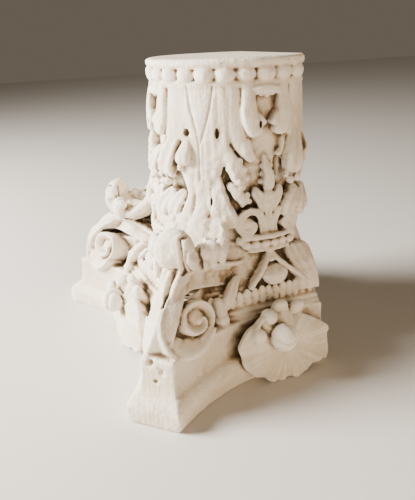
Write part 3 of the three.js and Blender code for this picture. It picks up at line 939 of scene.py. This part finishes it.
def read_mesh(mesh):
    """Points and normals of a mesh in millimetres."""
    points, facing = np.empty(len(mesh.vertices) * 3), np.empty(len(mesh.vertices) * 3)
    mesh.vertices.foreach_get("co", points)
    mesh.vertex_normals.foreach_get("vector", facing)
    return points.reshape(-1, 3) / MM, facing.reshape(-1, 3)


co, normals = read_mesh(cast.data)
free = off_flats(co)
depth = np.zeros(len(co))
degrees_at = np.degrees(np.arctan2(co[:, 1], co[:, 0]))
from_axis = np.hypot(co[:, 0], co[:, 1])
for corner in LEAVES_AT:
    near_leaf = (degrees_at - corner + 180) % 360 - 180
    chosen = free & (np.abs(near_leaf) < LEAF_SIDE) & (co[:, 2] > LEAF_LOW) & (from_axis < LEAF_OUT)
    spots = np.stack([near_leaf, co[:, 2]], 1)[chosen]
    lines = [([(a * MM_PER_DEGREE, z) for a, z in points], w, d) for points, w, d in LEAF_LINES]
    depth[chosen] = sink(spots * (MM_PER_DEGREE, 1), lines)
for corner in CORNERS_AT:
    out = np.array([math.cos(math.radians(corner)), math.sin(math.radians(corner)), 0])
    aside = co @ np.array([-out[1], out[0], 0])
    chosen = free & (co @ out > TIP_FROM) & (co[:, 2] > TIP_LOW) & (co[:, 2] < TIP_HIGH)
    depth[chosen] = sink(np.stack([aside, co[:, 2]], 1)[chosen], TIP_LINES)
for face in FACES_AT:
    out = np.array([math.cos(math.radians(face)), math.sin(math.radians(face)), 0])
    aside = co @ np.array([-out[1], out[0], 0])
    chosen = free & (co @ out > PETALS_FROM) & (np.abs(aside) < PETALS_SIDE) & (co[:, 2] < PETALS_TOP)
    depth[chosen] = sink(np.stack([aside, co[:, 2]], 1)[chosen], FLOWER_LINES)
co -= normals * depth[:, None]
print("engraved points:", int((depth > 0.2).sum()))

# %% [markdown]
# A hand-made surface
#
# Real plaster isn't smooth: broad faces wander a little, and carved parts are lumpy. Each point moves
# by a few tenths of a millimetre of noise, except on the sawn back and the underside. After that the
# mesh is thinned where it is flat.

# %% Surface wander
WANDER = [(14.0, 0.35), (4.5, 0.2)]
CARVING = [(6.0, 0.4), (2.6, 0.16)]
CARVED_FROM = 42.0
CARVED_TO = 152.0
BANDS_TO = 80.0
BANDS_FROM = 74.0
BANDS_SHARE = 0.15
BEADS_FROM = 186.0
BEADS_TO = 195.0
FADE_LOW = 6.0
FADE_HIGH = 12.0
FADE_BEADS = 2.0
RIDGE_MEAN = 0.35


def rough(points, scale):
    return np.array([noise.noise(Vector(p)) for p in (points / scale + scale).tolist()])


up = co[:, 2]
from_axis = np.hypot(co[:, 0], co[:, 1])
carved = np.clip((up - CARVED_FROM) / FADE_LOW, 0, 1) * np.clip((CARVED_TO - up) / FADE_HIGH, 0, 1)
carved[(up < BANDS_TO) & (from_axis > BANDS_FROM)] = BANDS_SHARE
beaded = np.clip((up - BEADS_FROM) / FADE_BEADS, 0, 1) * np.clip((BEADS_TO - up) / FADE_BEADS, 0, 1)
carved = free * np.maximum(carved, beaded)
push = sum(rough(co, scale) * height for scale, height in WANDER) * free
push += sum((RIDGE_MEAN - np.abs(rough(co, scale))) * 2 * height for scale, height in CARVING) * carved
co += normals * push[:, None]
cast.data.vertices.foreach_set("co", (co * MM).ravel())
cast.data.update()
cast.data.calc_loop_triangles()
thin = cast.modifiers.new("thin", "DECIMATE")
thin.ratio = min(1, TRIANGLES / len(cast.data.loop_triangles))
settle(cast)
print("cast:", len(cast.data.vertices), "points,", len(cast.data.polygons), "faces")

# %% [markdown]
# Painted shade, dust and wear
#
# Dust stays where little light and no brush gets in, and the same places are painted darker as
# shade. From each point a few rays leave round its normal, and the share that soon meets plaster
# again says how deep the point lies. Sharp inner corners are found by comparing each point with a
# smoothed copy of the mesh, and so are the rubbed edges; the inner corners get painted shade too.
# Ledges that face up in the shade get more dust and painted shade, and faces cut flat by the saw are
# shaded flat.

# %% Painted shade and wear attributes
RAYS = 14
RAY_REACH = 24.0
RAY_START = 0.3
CREASE = 0.3
EDGE_HEIGHT = 0.5
# painted shade: gains by which creases, shaded hollows and shaded ledges are darkened in colour, partly as
# dust
CREASE_PAINTED_SHADE = 0.45
PAINTED_SHADE_GAIN = 2.2
SHADE_FROM = 0.26
LEDGE_DUST_AND_SHADE = 0.5
LEDGE_FROM = 0.14
LEDGE_RANGE = 0.3
FLAT_FACE = 0.9999


def smoothed(values, edges, rounds):
    start, end = np.concatenate([edges, edges[:, ::-1]]).T
    count = np.bincount(start, minlength=len(values))[:, None]
    for _ in range(rounds):
        columns = [np.bincount(start, values[end, i], len(values)) for i in range(values.shape[1])]
        values = np.stack(columns, 1) / count
    return values


def depth_in_shade(points, facing, mesh):
    """Share of nearby plaster round each point, from 0 in the open to 1 in a deep hole."""
    tree = BVHTree.FromPolygons(points.tolist(), [tuple(p.vertices) for p in mesh.polygons])
    i = np.arange(RAYS) + 0.5
    up = np.sqrt(1 - i / RAYS)
    swing = i * math.pi * (3 - math.sqrt(5))
    side = np.cross(facing, np.where(np.abs(facing[:, 2:]) < 0.9, [[0, 0, 1.0]], [[1.0, 0, 0]]))
    side /= np.linalg.norm(side, axis=1)[:, None]
    other = np.cross(facing, side)
    starts = (points + facing * RAY_START).tolist()
    share = np.zeros(len(points))
    for u, w in zip(up, swing):
        flat = math.sqrt(1 - u * u)
        ways = facing * u + side * flat * math.cos(w) + other * flat * math.sin(w)
        for k, way in enumerate(ways.tolist()):
            far = tree.ray_cast(starts[k], way, RAY_REACH)[3]
            if far is not None:
                share[k] += 1 - far / RAY_REACH
    return share / RAYS


def normals_of_faces(mesh):
    facing = np.empty(len(mesh.polygons) * 3)
    mesh.polygons.foreach_get("normal", facing)
    return facing.reshape(-1, 3)


mesh = cast.data
co, normals = read_mesh(mesh)
free = off_flats(co)
edges = np.empty(len(mesh.edges) * 2, int)
mesh.edges.foreach_get("vertices", edges)
edges = edges.reshape(-1, 2)
near = ((smoothed(co, edges, 3) - co) * normals).sum(1)
shade = smoothed(depth_in_shade(co, normals, mesh)[:, None], edges, 2)[:, 0]
# painted shade: hollows, sharp inner corners and shaded upward ledges are darkened in colour, partly as dust
ledge_dust_and_shade = np.clip(normals[:, 2], 0, 1) * np.clip((shade - LEDGE_FROM) / LEDGE_RANGE, 0, 1)
dust_and_painted_shade = CREASE_PAINTED_SHADE * near / CREASE + PAINTED_SHADE_GAIN * (shade - SHADE_FROM) + LEDGE_DUST_AND_SHADE * ledge_dust_and_shade
dust_and_painted_shade = np.clip(dust_and_painted_shade, 0, 1) * free
edge = np.clip(-near / EDGE_HEIGHT, 0, 1) * free
for name, values in [("dust_and_painted_shade", dust_and_painted_shade), ("edge", edge)]:
    mesh.attributes.new(name, "FLOAT", "POINT").data.foreach_set("value", values)
mesh.materials.clear()
mesh.materials.append(plaster)
flat = np.abs(normals_of_faces(mesh)).max(1) > FLAT_FACE
mesh.polygons.foreach_set("use_smooth", ~flat)
mesh.update()
print("shade quartiles:", np.percentile(shade, [25, 50, 75, 95]).round(2))
# share of points tinted by dust and painted shade
print("share in dust:", round(float((dust_and_painted_shade > 0.3).mean()), 3))

# %% The piece in the frame
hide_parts("capital")
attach(cast, "root")
print("piece:", cast.name)

# %% [markdown]
# Floor, light and camera
#
# The cast stands on a plain pale floor. A broad soft light from the left models the carving, and a
# weak warm light low on the right fills the shade. The camera looks slightly down on the corner.

# %% Studio
FLOOR_SIZE = 6.0
square = np.array([(-1, -1, 0), (1, -1, 0), (1, 1, 0), (-1, 1, 0)])
floor = mesh_object("floor", [(square * FLOOR_SIZE / 2 / MM, [(0, 1, 2, 3)])])
pale = bpy.data.materials.new("pale_floor")
pale.use_nodes = True
paint = pale.node_tree.nodes["Principled BSDF"].inputs
paint["Base Color"].default_value = linear("#D9D6D1")
paint["Roughness"].default_value = 0.9
floor.data.materials.append(pale)


def soft_light(name, at, aim, size, power, hex_colour):
    lamp = bpy.data.lights.new(name, "AREA")
    lamp.shape = "SQUARE"
    lamp.size = size
    lamp.energy = power
    lamp.color = linear(hex_colour)[:3]
    made = bpy.data.objects.new(name, lamp)
    made.location = at
    made.rotation_euler = (Vector(aim) - Vector(at)).to_track_quat("-Z", "Y").to_euler()
    bpy.context.collection.objects.link(made)


soft_light("window", (-0.3, -0.98, 0.6), (0, 0, 0.1), 0.5, 64, "#FFF8EE")
soft_light("warm_fill", (0.66, 0.06, 0.07), (0, 0, 0.04), 0.4, 3.2, "#FFDDB4")
world = bpy.data.worlds.new("studio")
world.use_nodes = True
sky = world.node_tree.nodes["Background"].inputs
sky["Color"].default_value = linear("#FFEACF")
sky["Strength"].default_value = 0.14
bpy.context.scene.world = world
print("lights and floor ready")

# %% Camera
CAMERA_AT = (0.3577, -0.1675, 0.21385)
CAMERA_AZIMUTH = 0.4379
CAMERA_YAW = -0.0494
CAMERA_PITCH = 0.3743
CAMERA_ROLL = -0.0418
LENS = 39.72


def camera_turn():
    """Camera axes as matrix columns: level heading first, then yaw, pitch and roll."""
    up = Vector((0, 0, 1))
    heading = Vector((-math.cos(CAMERA_AZIMUTH), math.sin(CAMERA_AZIMUTH), 0))
    right = Vector((math.sin(CAMERA_AZIMUTH), math.cos(CAMERA_AZIMUTH), 0))
    ahead = heading * math.cos(CAMERA_YAW) + right * math.sin(CAMERA_YAW)
    side = right * math.cos(CAMERA_YAW) - heading * math.sin(CAMERA_YAW)
    look = ahead * math.cos(CAMERA_PITCH) - up * math.sin(CAMERA_PITCH)
    top = up * math.cos(CAMERA_PITCH) + ahead * math.sin(CAMERA_PITCH)
    x = side * math.cos(CAMERA_ROLL) + top * math.sin(CAMERA_ROLL)
    y = top * math.cos(CAMERA_ROLL) - side * math.sin(CAMERA_ROLL)
    return Matrix((x, y, -look)).transposed()


lens = bpy.data.cameras.new("camera")
lens.lens = LENS
lens.sensor_width = 36.0
lens.clip_start = 0.01
camera = bpy.data.objects.new("camera", lens)
camera.matrix_world = Matrix.Translation(CAMERA_AT) @ camera_turn().to_4x4()
bpy.context.collection.objects.link(camera)
bpy.context.scene.camera = camera
print("camera", [round(v, 3) for v in camera.location])
